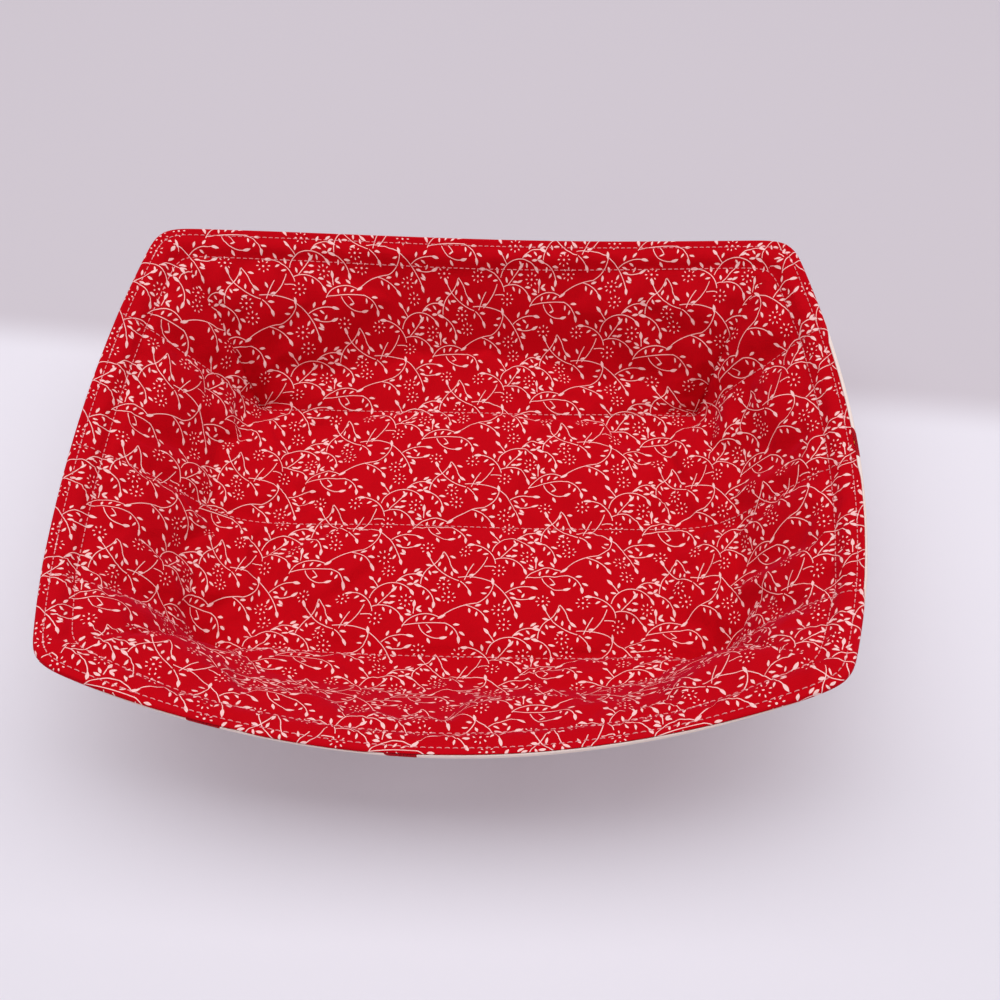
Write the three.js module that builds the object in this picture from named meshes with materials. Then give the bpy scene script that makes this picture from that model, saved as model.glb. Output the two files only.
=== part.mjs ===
// A quilted fabric cozy that carries a hot container from the microwave: two printed panels, each
// quilted to its own batting, darted at the corners and sewn together round a rolled rim.
// Millimetres, +Z up, the long sides along X, the front at -Y.
import * as THREE from "three";

// Floor between the fold lines, and the rim's corner points beyond the floor corners
const FLOOR_LENGTH = 200;
const FLOOR_WIDTH = 133;
const CORNER_SPREAD_X = 40;
const CORNER_SPREAD_Y = 44;
const CORNER_HEIGHT = 70;
const CORNER_ROUNDING = 2;

// How far each side's middle bows outward and dips below its corners
const LONG_SIDE_BOW = 21;
const LONG_SIDE_DIP = 20;
const SHORT_SIDE_BOW = 19;
const SHORT_SIDE_DIP = 17;

// Wall profile: where it leaves the floor, and how much steeper it starts than it ends
const FOLD_INSET = 7;
const FOLD_CRISPNESS = 0.6;
const WALL_FOOT = 9;
const WALL_STEEPNESS = 0.58;

// Layers: cloth, batting where stitches press it flat, and its rise on each face between stitches
const FABRIC = 0.4;
const BATTING_PRESSED = 0.6;
const LOFT = 1.5;
const LOFT_REACH = 14;
const GAP = 0.3;

// Stitching
const THREAD = 0.4;
const THREAD_SIDES = 5;
const FIRST_ROW_INSET = 3.2;
const SECOND_ROW_INSET = 12.7;
const DART_THREAD_SHIFT = 0.8;

// Mesh divisions
const FLOOR_COLUMNS = 12;
const ROW_CROWDING = 0.25;
const CORNER_FAN = { quilt: 15, shortFlap: 30, dart: 45, longFlap: 67.5 };
const CREST_STEPS = 2;
const PROFILE_SAMPLES = 200;

// Depths below the lining face, outward through the stack
const CORE = THREAD + 2 * GAP;
const LINING_BATTING_TOP = FABRIC + GAP;
const CORE_TOP = LINING_BATTING_TOP + BATTING_PRESSED;
const CORE_BOTTOM = CORE_TOP + CORE;
const OUTER_BATTING_BOTTOM = CORE_BOTTOM + BATTING_PRESSED;
const OUTER_PANEL_TOP = OUTER_BATTING_BOTTOM + GAP;
const STACK = OUTER_PANEL_TOP + FABRIC;
const CREST_RADIUS = STACK / 2;
const CREST_ANGLE = Math.acos(GAP / 2 / CREST_RADIUS);
const THREAD_RADIUS = THREAD / 2;
const THREAD_CLEAR = GAP + THREAD_RADIUS;
const FLOOR_LEVEL = STACK + LOFT;

const HALF_LENGTH = FLOOR_LENGTH / 2;
const HALF_WIDTH = FLOOR_WIDTH / 2;
const INNER_X = HALF_LENGTH - FOLD_INSET;
const INNER_Y = HALF_WIDTH - FOLD_INSET;
const RIM_X = HALF_LENGTH + CORNER_SPREAD_X;
const RIM_Y = HALF_WIDTH + CORNER_SPREAD_Y;

const vec = (x, y, z) => new THREE.Vector3(x, y, z);

// Rim line of one side at a share s from -1 to 1 along it, before the layers are added
function longRim(s, side) {
  const bow = 1 - s * s;
  const y = side * (RIM_Y + LONG_SIDE_BOW * bow);
  return vec(s * RIM_X, y, FLOOR_LEVEL + CORNER_HEIGHT - LONG_SIDE_DIP * bow);
}

function shortRim(s, side) {
  const bow = 1 - s * s;
  const x = side * (RIM_X + SHORT_SIDE_BOW * bow);
  return vec(x, s * RIM_Y, FLOOR_LEVEL + CORNER_HEIGHT - SHORT_SIDE_DIP * bow);
}

function cornerRim(sideX, sideY) {
  const p = longRim(sideX, sideY);
  const inward = vec(-sideX, -sideY, 0).normalize().multiplyScalar(CORNER_ROUNDING);
  return p.add(inward);
}

// Floor grid lines: those across the width crowd beside the stitch lines, where the loft falls
const gridX = [];
for (let i = 0; i <= FLOOR_COLUMNS; i++) gridX.push(INNER_X * (2 * i / FLOOR_COLUMNS - 1));
const nearMiddle = Math.min(LOFT_REACH, INNER_Y * ROW_CROWDING);
const nearFold = HALF_WIDTH - Math.min(LOFT_REACH, HALF_WIDTH * ROW_CROWDING);
const halfRows = [nearMiddle, (nearMiddle + nearFold) / 2, nearFold, INNER_Y];
const gridY = [...halfRows.map((y) => -y).reverse(), 0, ...halfRows];
const LAST_X = gridX.length - 1;
const LAST_Y = gridY.length - 1;
const MIDDLE_ROW = LAST_Y / 2;

// Wall columns in order round the floor. The four columns at a corner fan out of one grid point:
// "quilt" carries the quilting line up the short wall and "dart" is the corner seam.
const columns = [];

function addColumn(ix, iy, degrees, rim, kind) {
  const turn = THREE.MathUtils.degToRad(degrees);
  const root = vec(gridX[ix], gridY[iy], FLOOR_LEVEL);
  const fold = vec(Math.cos(turn), Math.sin(turn), 0).multiplyScalar(FOLD_INSET).add(root);
  columns.push({ ix, iy, root, fold, rim, kind });
}

function addCorner(sideX, sideY) {
  const ix = sideX > 0 ? LAST_X : 0;
  const iy = sideY > 0 ? LAST_Y : 0;
  const quilt = HALF_WIDTH / RIM_Y;
  const shortFlap = (quilt + 1) / 2;
  const longFlap = (INNER_X / RIM_X + 1) / 2;
  const fan = [
    [CORNER_FAN.quilt, shortRim(quilt * sideY, sideX), "quilt"],
    [CORNER_FAN.shortFlap, shortRim(shortFlap * sideY, sideX), "flap"],
    [CORNER_FAN.dart, cornerRim(sideX, sideY), "dart"],
    [CORNER_FAN.longFlap, longRim(longFlap * sideX, sideY), "flap"],
  ];
  const placed = fan.map(([angle, rim, kind]) => {
    const across = sideX > 0 ? angle : 180 - angle;
    return [sideY > 0 ? across : -across, rim, kind];
  });
  if (sideX * sideY < 0) placed.reverse();
  for (const [degrees, rim, kind] of placed) addColumn(ix, iy, degrees, rim, kind);
}

for (let i = 0; i <= LAST_Y; i++) addColumn(LAST_X, i, 0, shortRim(gridY[i] / RIM_Y, 1), "short");
addCorner(1, 1);
for (let i = LAST_X; i >= 0; i--) addColumn(i, LAST_Y, 90, longRim(gridX[i] / RIM_X, 1), "long");
addCorner(-1, 1);
for (let i = LAST_Y; i >= 0; i--) addColumn(0, i, 180, shortRim(gridY[i] / RIM_Y, -1), "short");
addCorner(-1, -1);
for (let i = 0; i <= LAST_X; i++) addColumn(i, 0, 270, longRim(gridX[i] / RIM_X, -1), "long");
addCorner(1, -1);

const COLUMN_COUNT = columns.length;

// Points up one column of the wall: fold, foot, mid wall, second row, first row and rim
function wallPoints({ root, fold, rim }) {
  const rise = rim.z - fold.z;
  const knee = fold.clone().lerp(rim, 1 - WALL_STEEPNESS);
  knee.z = fold.z + rise * WALL_STEEPNESS;
  const curve = new THREE.QuadraticBezierCurve3(fold, knee, rim);
  curve.arcLengthDivisions = PROFILE_SAMPLES;
  const length = curve.getLength();
  const at = (distance) => curve.getPointAt(distance / length);
  const foot = at(WALL_FOOT);
  const secondRow = length - SECOND_ROW_INSET;
  const bend = root.clone().add(foot).multiplyScalar((1 - FOLD_CRISPNESS) / 2);
  bend.addScaledVector(fold, FOLD_CRISPNESS);
  return [
    bend,
    foot,
    at((WALL_FOOT + secondRow) / 2),
    at(secondRow),
    at(length - FIRST_ROW_INSET),
    at(length - CREST_RADIUS),
  ];
}

const FOLD_RING = 0;
const SECOND_ROW_RING = 3;
const FIRST_ROW_RING = 4;
const RIM_RING = 5;

// Base points: the lining face where stitches hold it down
const base = [];
for (const y of gridY) for (const x of gridX) base.push(vec(x, y, FLOOR_LEVEL));
const floorIndex = (ix, iy) => iy * gridX.length + ix;
const FLOOR_POINTS = base.length;
const walls = columns.map(wallPoints);
for (let ring = 0; ring <= RIM_RING; ring++) for (const wall of walls) base.push(wall[ring]);
const wrap = (column) => (column + COLUMN_COUNT) % COLUMN_COUNT;
const ringIndex = (ring, column) => FLOOR_POINTS + ring * COLUMN_COUNT + wrap(column);

// Faces of the base, turned to face the inside of the cozy
const faces = [];

function addQuad(a, b, c, d) {
  if (a !== b) faces.push([a, b, c]);
  faces.push([a, c, d]);
}

for (let iy = 0; iy < LAST_Y; iy++) {
  for (let ix = 0; ix < LAST_X; ix++) {
    const a = floorIndex(ix, iy);
    const b = floorIndex(ix + 1, iy);
    addQuad(a, b, floorIndex(ix + 1, iy + 1), floorIndex(ix, iy + 1));
  }
}
for (let j = 0; j < COLUMN_COUNT; j++) {
  const here = columns[j];
  const next = columns[wrap(j + 1)];
  const rootHere = floorIndex(here.ix, here.iy);
  const rootNext = floorIndex(next.ix, next.iy);
  addQuad(rootNext, rootHere, ringIndex(FOLD_RING, j), ringIndex(FOLD_RING, j + 1));
  for (let ring = 0; ring < RIM_RING; ring++) {
    const a = ringIndex(ring, j + 1);
    const b = ringIndex(ring, j);
    addQuad(a, b, ringIndex(ring + 1, j), ringIndex(ring + 1, j + 1));
  }
}

// Outward direction at each base point, straight down over the whole floor
const outward = base.map(() => vec(0, 0, 0));
for (const [a, b, c] of faces) {
  const ab = base[b].clone().sub(base[a]);
  const ac = base[c].clone().sub(base[a]);
  const facing = ac.cross(ab);
  for (const i of [a, b, c]) outward[i].add(facing);
}
outward.forEach((direction, i) => {
  if (i < FLOOR_POINTS) direction.set(0, 0, -1);
  direction.normalize();
});

const offset = (i, depth) => base[i].clone().addScaledVector(outward[i], depth);

// Stitch lines as lists of base points
const roundRing = (ring) => columns.map((_, j) => ringIndex(ring, j));
const upColumn = (j) => walls[j].map((_, ring) => ringIndex(ring, j));
const columnsOf = (kind) => columns.map((c, j) => [c, j]).filter(([c]) => c.kind === kind);

function sideQuilting(sideY) {
  const ends = columnsOf("quilt").filter(([c]) => c.root.y * sideY > 0);
  const right = ends.find(([c]) => c.root.x > 0)[1];
  const left = ends.find(([c]) => c.root.x < 0)[1];
  const from = sideY > 0 ? right : left;
  const to = sideY > 0 ? left : right;
  const along = [];
  for (let j = from + 1; j < to; j++) along.push(ringIndex(FOLD_RING, j));
  return [...upColumn(from).reverse(), ...along, ...upColumn(to)];
}

function middleQuilting() {
  const ends = columnsOf("short").filter(([c]) => c.iy === MIDDLE_ROW);
  const [right, left] = ends.map(([, j]) => j);
  const along = gridX.map((_, ix) => floorIndex(LAST_X - ix, MIDDLE_ROW));
  return [...upColumn(right).reverse(), ...along, ...upColumn(left)];
}

const quilting = {
  back: sideQuilting(1),
  middle: middleQuilting(),
  front: sideQuilting(-1),
};
const dartColumns = columnsOf("dart").map(([, j]) => j);
const rows = [roundRing(SECOND_ROW_RING), roundRing(FIRST_ROW_RING)];

// Loft of the batting over each base point: none on a stitch line, full beyond its reach
const held = [
  ...Object.values(quilting),
  ...dartColumns.map(upColumn),
  ...rows.map((row) => [...row, row[0]]),
];

function distanceToStitches(point) {
  const line = new THREE.Line3();
  const nearest = vec(0, 0, 0);
  let least = Infinity;
  for (const path of held) {
    for (let k = 1; k < path.length; k++) {
      line.set(base[path[k - 1]], base[path[k]]);
      line.closestPointToPoint(point, true, nearest);
      least = Math.min(least, nearest.distanceTo(point));
    }
  }
  return least;
}

const loft = base.map((point, i) => {
  if (i >= ringIndex(RIM_RING, 0)) return 0;
  const share = Math.min(1, distanceToStitches(point) / LOFT_REACH);
  return LOFT * Math.sin(share * Math.PI / 2);
});

// Direction up the wall and out of the rim, square to the outward direction
const upward = columns.map((_, j) => {
  const rim = ringIndex(RIM_RING, j);
  const up = base[rim].clone().sub(base[ringIndex(FIRST_ROW_RING, j)]);
  return up.addScaledVector(outward[rim], -up.dot(outward[rim])).normalize();
});
const crestCentre = columns.map((_, j) => offset(ringIndex(RIM_RING, j), CREST_RADIUS));

// A point on the rolled edge: side -1 is the lining's roll and +1 the outer panel's
function crestPoint(j, side, radius, angle) {
  const rim = ringIndex(RIM_RING, j);
  const point = crestCentre[j].clone();
  point.addScaledVector(outward[rim], side * radius * Math.cos(angle));
  return point.addScaledVector(upward[j], radius * Math.sin(angle));
}

// One layer as a closed shell between two depths; a panel also rolls over the rim on its own side
function layer(innerDepth, outerDepth, roll) {
  const points = [];
  const triangles = [];
  const sheets = [innerDepth, outerDepth].map((depth, s) => {
    const start = points.length;
    base.forEach((_, i) => points.push(offset(i, depth(i))));
    for (const [a, b, c] of faces) {
      const turned = s === 0 ? [a, b, c] : [a, c, b];
      triangles.push(turned.map((i) => i + start));
    }
    let edge = columns.map((_, j) => start + ringIndex(RIM_RING, j));
    const crestSteps = roll ? CREST_STEPS : 0;
    const onFace = roll === (s === 0 ? -1 : 1);
    const radius = onFace ? CREST_RADIUS : CREST_RADIUS - FABRIC;
    for (let step = 1; step <= crestSteps; step++) {
      const angle = CREST_ANGLE * step / CREST_STEPS;
      const next = columns.map((_, j) => points.push(crestPoint(j, roll, radius, angle)) - 1);
      columns.forEach((_, j) => {
        const k = wrap(j + 1);
        const quad = [edge[k], edge[j], next[j], next[k]];
        const [a, b, c, d] = s === 0 ? quad : quad.reverse();
        triangles.push([a, b, c], [a, c, d]);
      });
      edge = next;
    }
    return edge;
  });
  const [inner, outer] = sheets;
  columns.forEach((_, j) => {
    const k = wrap(j + 1);
    triangles.push([inner[k], inner[j], outer[j]], [inner[k], outer[j], outer[k]]);
  });
  const geometry = new THREE.BufferGeometry().setFromPoints(points);
  geometry.setIndex(triangles.flat());
  geometry.computeVertexNormals();
  return geometry;
}

// A path with straight runs between its points, sampled at the points themselves
class StitchPath extends THREE.Curve {
  constructor(points) {
    super();
    this.points = points;
    this.runs = points.length - 1;
  }

  getPoint(t, target = vec(0, 0, 0)) {
    const along = t * this.runs;
    const run = Math.min(Math.floor(along), this.runs - 1);
    return target.lerpVectors(this.points[run], this.points[run + 1], along - run);
  }

  getPointAt(u, target) {
    return this.getPoint(u, target);
  }

  getTangentAt(u, target = vec(0, 0, 0)) {
    const here = u * this.runs;
    const k = Math.round(here);
    const closed = this.points[0].equals(this.points[this.runs]);
    const before = this.points[k > 0 ? k - 1 : closed ? this.runs - 1 : 0];
    const after = this.points[k < this.runs ? k + 1 : closed ? 1 : this.runs];
    return target.subVectors(after, before).normalize();
  }
}

const threadSection = new THREE.Shape();
for (let i = 0; i < THREAD_SIDES; i++) {
  const angle = 2 * Math.PI * i / THREAD_SIDES;
  const x = THREAD_RADIUS * Math.cos(angle);
  const y = THREAD_RADIUS * Math.sin(angle);
  if (i === 0) threadSection.moveTo(x, y);
  else threadSection.lineTo(x, y);
}
threadSection.closePath();

function openThread(points) {
  const extrudePath = new StitchPath(points);
  return new THREE.ExtrudeGeometry(threadSection, { steps: points.length - 1, extrudePath });
}

function loopThread(points) {
  const path = new StitchPath([...points, points[0]]);
  return new THREE.TubeGeometry(path, points.length, THREAD_RADIUS, THREAD_SIDES, true);
}

// Threads lie clear of the panel's face: depth below the lining face and, in a row, one thread higher
// where a quilting thread passes underneath
const liningFace = -THREAD_CLEAR;
const outerFace = STACK + THREAD_CLEAR;
const onFace = (path, depth) => path.map((i) => offset(i, depth));
const quilted = new Set(Object.values(quilting).flat());

function rowThread(row, depth) {
  const step = Math.sign(depth) * (THREAD + GAP);
  return loopThread(row.map((i) => offset(i, quilted.has(i) ? depth + step : depth)));
}

// A dart thread runs up its corner in the core between the battings, beside the seam line
function dartThread(j, side) {
  const path = upColumn(j).map((i) => {
    const beside = i - j + wrap(j + side);
    const width = base[i].distanceTo(base[beside]);
    const here = offset(i, CREST_RADIUS);
    return here.lerp(offset(beside, CREST_RADIUS), DART_THREAD_SHIFT / width);
  });
  return openThread(path);
}

// The rim seam's thread lies just above the ends of the battings, inside the rolled edge
function rimSeamThread() {
  const lift = THREAD + GAP;
  return loopThread(crestCentre.map((c, j) => c.clone().addScaledVector(upward[j], lift)));
}

const cloth = (color) => new THREE.MeshStandardMaterial({ color, roughness: 0.9, metalness: 0 });
const LINING_RED = 0xc00616;
const OUTER_PALE = 0xf0dcd6;
const WADDING = 0xf2eee4;
const LINING_THREAD = 0xf4c8c4;
const OUTER_THREAD = 0xf2ece6;

const cozy = new THREE.Group();
cozy.name = "microwave_container_cozy";

function add(name, geometry, color) {
  const mesh = new THREE.Mesh(geometry, cloth(color));
  mesh.name = name;
  cozy.add(mesh);
}

add("lining_panel", layer((i) => -loft[i], (i) => FABRIC - loft[i], -1), LINING_RED);
add("lining_batting", layer((i) => LINING_BATTING_TOP - loft[i], () => CORE_TOP, 0), WADDING);
add("outer_batting", layer(() => CORE_BOTTOM, (i) => OUTER_BATTING_BOTTOM + loft[i], 0), WADDING);
add("outer_panel", layer((i) => OUTER_PANEL_TOP + loft[i], (i) => STACK + loft[i], 1), OUTER_PALE);

for (const [place, path] of Object.entries(quilting)) {
  add(`lining_quilting_thread_${place}`, openThread(onFace(path, liningFace)), LINING_THREAD);
  add(`outer_quilting_thread_${place}`, openThread(onFace(path, outerFace)), OUTER_THREAD);
}

for (const j of dartColumns) {
  const { x, y } = columns[j].root;
  const place = `${y > 0 ? "back" : "front"}_${x > 0 ? "right" : "left"}`;
  add(`lining_dart_thread_${place}`, dartThread(j, 1), LINING_THREAD);
  add(`outer_dart_thread_${place}`, dartThread(j, -1), OUTER_THREAD);
}

add("rim_seam_thread", rimSeamThread(), OUTER_THREAD);

const [secondRow, firstRow] = rows;
add("edge_topstitch_needle_thread", rowThread(firstRow, liningFace), LINING_THREAD);
add("edge_topstitch_bobbin_thread", rowThread(firstRow, outerFace), OUTER_THREAD);
add("second_row_needle_thread", rowThread(secondRow, liningFace), LINING_THREAD);
add("second_row_bobbin_thread", rowThread(secondRow, outerFace), OUTER_THREAD);

export default cozy;
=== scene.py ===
import math

import bmesh
import bpy
import numpy as np
from mathutils import Matrix, Vector, noise


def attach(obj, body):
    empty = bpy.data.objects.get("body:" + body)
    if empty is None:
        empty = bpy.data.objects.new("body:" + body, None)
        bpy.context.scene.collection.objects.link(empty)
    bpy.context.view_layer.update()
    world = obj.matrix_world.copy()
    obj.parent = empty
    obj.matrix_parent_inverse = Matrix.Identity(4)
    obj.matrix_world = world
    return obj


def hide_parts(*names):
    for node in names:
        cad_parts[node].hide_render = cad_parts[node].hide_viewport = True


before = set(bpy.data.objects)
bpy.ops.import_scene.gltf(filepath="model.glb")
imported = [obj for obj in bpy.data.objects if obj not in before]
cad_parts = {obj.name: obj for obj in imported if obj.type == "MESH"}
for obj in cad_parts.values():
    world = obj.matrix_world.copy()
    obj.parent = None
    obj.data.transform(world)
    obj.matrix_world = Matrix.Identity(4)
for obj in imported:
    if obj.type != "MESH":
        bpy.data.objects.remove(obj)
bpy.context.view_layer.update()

MM = 0.001
TINY = 1e-7
# Points closer than this are one
MERGE = 1e-6

# Form of the cozy: half sizes of the floor between its stitched lines and of the rim between its corners, the
# height of the corners, and how far the rim bows out and dips between them
FLOOR_X = 100 * MM
FLOOR_Y = 66.5 * MM
RIM_X = 140 * MM
RIM_Y = 110.5 * MM
CORNER_HEIGHT = 70 * MM
LONG_BOW = 21 * MM
LONG_DIP = 20 * MM
SHORT_BOW = 19 * MM
SHORT_DIP = 17 * MM
RIM_SAMPLES = 200
CORNER_SOFTENING = 45
# The back left corner is pulled out and up, and the front right one in, over a share of the sides beside it
PULLS = ((2, (-3, 2, 3)), (4, (-2.5, 0, 0)))
PULL_REACH = 0.8

# How far the floor runs on past its stitched lines in the middle of the right, back, left and front side, and
# at the corners. The walls fan out from a share of each half side on.
FOLD_INSET = (9 * MM, 25 * MM, 7 * MM, 11 * MM)
CORNER_INSET = 5 * MM
FAN_START = 0.6

# How steeply the right, back, left and front walls start, and the back right, back left, front left and front
# right corners. A wall is straight at 0.5; above that it starts steep and flares to the rim.
WALL_STEEPNESS = (0.57, 0.6, 0.6, 0.6)
CORNER_STEEPNESS = (0.67, 0.67, 0.78, 0.78)
WALL_SAMPLES = 33
# The side walls bend where the quilting crosses them, in front a little before it: place of the bends at the
# front and the back, their depth and reach, and how far up the wall they grow to that depth
FRONT_BEND = FLOOR_Y - 7 * MM
BACK_BEND = FLOOR_Y
BEND_DEPTH = 2 * MM
BEND_REACH = 8 * MM
BEND_RISE = 14 * MM

# Smoothing rounds the folds from the floor to the walls: its reach onto the floor, up the wall and past the
# floor's ends. Its rounds, and how far they keep from the darts, are for the short folds, the long ones, the
# middles of the short ones and the long ones again.
SHORT_FOLD = (34 * MM, 48 * MM, 26 * MM)
LONG_FOLD = (20 * MM, 44 * MM, 16 * MM)
SMOOTHING = ((30, 3 * MM), (25, 3 * MM), (170, 9 * MM), (110, 9 * MM))

# Layers: cloth, the whole stack where stitches press it and where the rim's two rows do, with the way between
# the two, and its rise on each face between stitches
FABRIC = 0.4 * MM
STACK = 3.6 * MM
RIM_STACK = 2.6 * MM
RIM_TAPER = 18 * MM
LOFT = 1.5 * MM
FLOOR_LEVEL = STACK + LOFT
# The cloths roll over the rim to a seam. Each wadding lies a gap behind its cloth, down to its core depth.
CREST_RADIUS = RIM_STACK / 2
CREST_GAP = 0.3 * MM
ROLL_STEPS = 8
GAP = 0.3 * MM
LINING_CORE = 1.3 * MM
OUTER_CORE = 2.3 * MM

# Grooves that stitches press into the loft, depth and reach: quilting holds one panel to its batting, rows at
# the rim go through everything. Darts keep a share of their depth at the rim.
GROOVES = {"to_quilting": (0.45 * MM, 12 * MM), "to_rows": (1.5 * MM, 6 * MM), "to_dart": (0.8 * MM, 9 * MM)}
DART_AT_RIM = 0.3

# How far over the rim the lining reaches, in degrees from the inside, at bearings round the rim: the seam has
# rolled inwards on parts of the front and the right
SEAM = ((-180, 150), (-132, 150), (-128, 108), (-120, 92), (-113, 84), (-111, 98), (-99, 98), (-97, 82),
        (-88, 66), (-75, 62), (-68, 66), (-60, 76), (-52, 98), (-48, 150), (-40, 150), (-33, 100), (-29, 50),
        (-5, 50), (-2, 20), (13, 20), (26, 15), (29, 90), (45, 110), (60, 150), (180, 150))

# Unevenness of the sewn form, which fades towards the rim
SWELL = 1.1 * MM
SWELL_SIZE = 62 * MM
EVEN_RIM = 30 * MM
# Soft creases on the flat lining, in millimetres and degrees: middle, heading, length, width and depth. Each
# has a ridge on its left, with a place in widths and a height in depths.
CREASES = ((-46, -32, 43, 60, 7, 2.2), (74, -48, 4, 36, 7, 1.3), (98, -35, 56, 32, 7, 1.6),
           (-104, -47, 24, 28, 7, 1.5), (77, 38, 60, 30, 7, 1.2), (38, -38, 90, 42, 4, 0.7),
           (-62, 37, 97, 26, 4, 0.8), (-78, -20, 75, 34, 6, 0.9), (8, 33, -20, 36, 6, 0.8))
RIDGE_PLACE = 0.8
RIDGE = 0.7

# Cloth settling: how much larger the cloth is than the form, how near to stitches it is held, and a limit to
# its movement. The solver works better on a larger cloth.
GROWTH = 0.03
HELD = 0.5 * MM
MOST_MOVED = 2.2 * MM
SETTLE_SCALE = 10
SETTLE_FRAMES = 24
COTTON = {"quality": 6, "mass": 0.3, "tension_stiffness": 25, "compression_stiffness": 25,
          "shear_stiffness": 10, "bending_stiffness": 0.6, "vertex_group_mass": "held", "pin_stiffness": 1,
          "shrink_min": -GROWTH, "shrink_max": -GROWTH, "use_pressure": True, "uniform_pressure_force": 0.2}

# Flat panel: walls beyond the stitched lines, and how far each leg of a corner dart runs aside over that wall
WALL = 84 * MM
DART_SPREAD = 42 * MM
CELL = 2 * MM
# What each point of a panel knows: its place on the flat cloth, and its distances
FACTS = ("flat_x", "flat_y", "to_rim", "to_dart", "to_quilting", "to_rows")

# Stitching, with the rows measured down from where the edge starts to roll
FIRST_ROW = 2 * MM
SECOND_ROW = 12 * MM
ON_LINE = 0.05 * MM
STITCH_PITCH = 2.8 * MM
STITCH_LENGTH = 2.1 * MM
THREAD = 0.36 * MM
# Rings of one stitch: place along it in stitch lengths, height off the cloth in millimetres, width in threads
STITCH_RINGS = ((-0.5, -0.22, 0.75), (-0.32, 0.1, 1), (0, 0.2, 1), (0.32, 0.1, 1), (0.5, -0.22, 0.75))
RING_SIDES = 6
# Seams inside: darts of the two panels lie aside of each other, the rim's seam above the middle of its roll
DART_SHIFT = 0.8 * MM
SEAM_RISE = 0.2 * MM


def ease(share):
    """A share from 0 to 1 with a soft start and end."""
    return share * share * (3 - 2 * share)


def rim_line():
    """The rim as a closed line of points, right side first and then anticlockwise, with soft corners."""
    s = np.linspace(-1, 1, RIM_SAMPLES, endpoint=False)
    bow = 1 - s * s
    top = FLOOR_LEVEL + CORNER_HEIGHT
    right = np.stack([RIM_X + SHORT_BOW * bow, s * RIM_Y, top - SHORT_DIP * bow], 1)
    back = np.stack([-s * RIM_X, RIM_Y + LONG_BOW * bow, top - LONG_DIP * bow], 1)
    half_turn = np.array([-1, -1, 1])
    line = np.concatenate([right, back, right * half_turn, back * half_turn])
    for _ in range(CORNER_SOFTENING):
        line = (np.roll(line, 1, 0) + 2 * line + np.roll(line, -1, 0)) / 4
    place = np.arange(len(line)) / RIM_SAMPLES
    for corner, pull in PULLS:
        away = np.abs((place - corner + 2) % 4 - 2)
        share = np.cos(np.clip(away / PULL_REACH, 0, 1) * math.pi / 2) ** 2
        line = line + share[:, None] * np.array(pull) * MM
    return line


def fold_up(flat):
    """Where points of the flat panel come to lie on the sewn lining face: the floor runs a little past its
    stitched lines, and each wall rises from there along a curve to the rim."""
    x, y = flat[:, 0], flat[:, 1]
    past_x = np.abs(x) - FLOOR_X
    past_y = np.abs(y) - FLOOR_Y
    on_wall = (past_x > TINY) | (past_y > TINY)
    long_wall = (past_y > TINY) & (past_x <= DART_SPREAD * past_y / WALL + TINY)
    share = np.where(long_wall, past_y, past_x) / WALL
    share = np.clip(np.where(on_wall, share, 0), 0, 1)
    spread = DART_SPREAD * share
    along = np.where(long_wall, x / (FLOOR_X + spread), y / (FLOOR_Y + spread))
    along = np.clip(along, -1, 1)

    level = np.full(len(x), FLOOR_LEVEL)
    root = np.stack([np.where(long_wall, along * FLOOR_X, np.sign(x) * FLOOR_X),
                     np.where(long_wall, np.sign(y) * FLOOR_Y, along * FLOOR_Y), level], 1)
    near_corner = ease(np.clip((np.abs(along) - FAN_START) / (1 - FAN_START), 0, 1))
    fan = math.pi / 4 * near_corner
    straight, aside = np.cos(fan), np.sin(fan) * np.sign(along)
    outward = np.stack([np.where(long_wall, aside, straight * np.sign(x)),
                        np.where(long_wall, straight * np.sign(y), aside), np.zeros(len(x))], 1)
    side = np.where(long_wall, np.where(y > 0, 1, 3), np.where(x > 0, 0, 2))
    inset = CORNER_INSET + (np.array(FOLD_INSET)[side] - CORNER_INSET) * (1 - along * along) ** 2
    foot = root + outward * inset[:, None]

    along_rim = np.where((side == 1) | (side == 2), -along, along)
    line = rim_line()
    place = (side + (along_rim + 1) / 2) * RIM_SAMPLES
    before = np.floor(place).astype(int)
    part = (place - before)[:, None]
    rim = line[before % len(line)] * (1 - part) + line[(before + 1) % len(line)] * part

    bend = np.where(y > 0, BACK_BEND, FRONT_BEND)
    past_bend = np.clip((np.abs(y) - bend) / np.maximum(FLOOR_Y + spread - bend, TINY), 0, 1)
    to_corner = np.where(long_wall, near_corner, past_bend)
    at_corner = np.array(CORNER_STEEPNESS)[np.where(along_rim > 0, side, side - 1) % 4]
    steepness = np.array(WALL_STEEPNESS)[side] * (1 - to_corner) + at_corner * to_corner
    knee = foot + (rim - foot) * (1 - steepness)[:, None]
    knee[:, 2] = foot[:, 2] + (rim[:, 2] - foot[:, 2]) * steepness
    t = np.linspace(0, 1, WALL_SAMPLES)[None, :, None]
    curve = foot[:, None] * (1 - t) ** 2 + knee[:, None] * 2 * t * (1 - t) + rim[:, None] * t * t
    curve = np.concatenate([root[:, None], curve], 1)
    runs = np.linalg.norm(np.diff(curve, axis=1), axis=2)
    reached = np.concatenate([np.zeros((len(x), 1)), np.cumsum(runs, 1)], 1)
    wanted = share * (reached[:, -1] - CREST_RADIUS)
    k = np.clip((reached <= wanted[:, None]).sum(1) - 1, 0, runs.shape[1] - 1)
    row = np.arange(len(x))
    part = ((wanted - reached[row, k]) / runs[row, k])[:, None]
    raised = curve[row, k] * (1 - part) + curve[row, k + 1] * part
    floor = np.stack([x, y, level], 1)
    return np.where(on_wall[:, None], raised, floor)


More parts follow.
